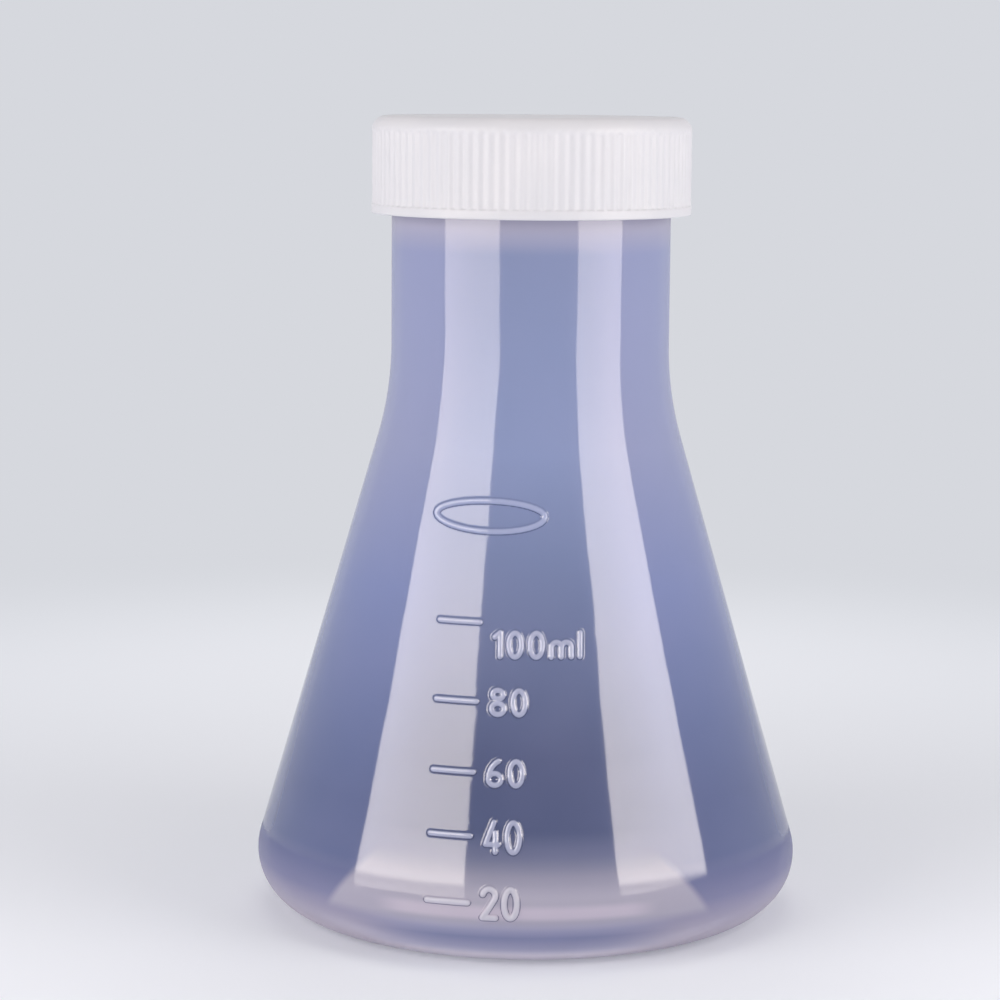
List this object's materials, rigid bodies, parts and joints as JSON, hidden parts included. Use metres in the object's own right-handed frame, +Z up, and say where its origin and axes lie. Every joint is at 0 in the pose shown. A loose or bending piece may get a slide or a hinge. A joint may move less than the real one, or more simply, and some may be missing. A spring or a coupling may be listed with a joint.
{
  "type": "conical flask",
  "caption": "Translucent moulded conical flask with raised volume marks, a threaded neck and a ribbed screw cap over a sealing disc.",
  "frame": {"origin": "centre of the foot ring that the flask stands on", "axes": "+Z up the axis of the flask to the mouth, -Y out of the graduated side, +X to the right of a person reading the marks"},
  "size_m": [0.0664, 0.0667, 0.0969],
  "materials": {
    "natural_pp": "natural polypropylene, translucent with a milky blue-lilac cast, smooth semi-gloss moulded surface",
    "white_pp": "white polypropylene, moulded, satin",
    "foam_liner": "white expanded polyethylene sheet with a fine cell texture"
  },
  "bodies": {
    "vessel": {"flask": "natural_pp"},
    "seal": {"liner": "foam_liner"},
    "cap": {"screw_cap": "white_pp"}
  },
  "joints": [
    {"name": "cap_lift", "type": "slide", "parent": "vessel", "child": "seal", "axis": [0, 0, 1], "range_m": [0, 0.018]},
    {"name": "cap_turn", "type": "hinge", "parent": "seal", "child": "cap", "pos_m": [0, 0, 0.0952], "axis": [0, 0, 1], "range_deg": [0, 1800]}
  ],
  "couplings": [
    {"joint": "cap_lift", "follows": "cap_turn", "m_per_rad": 0.00057296}
  ]
}
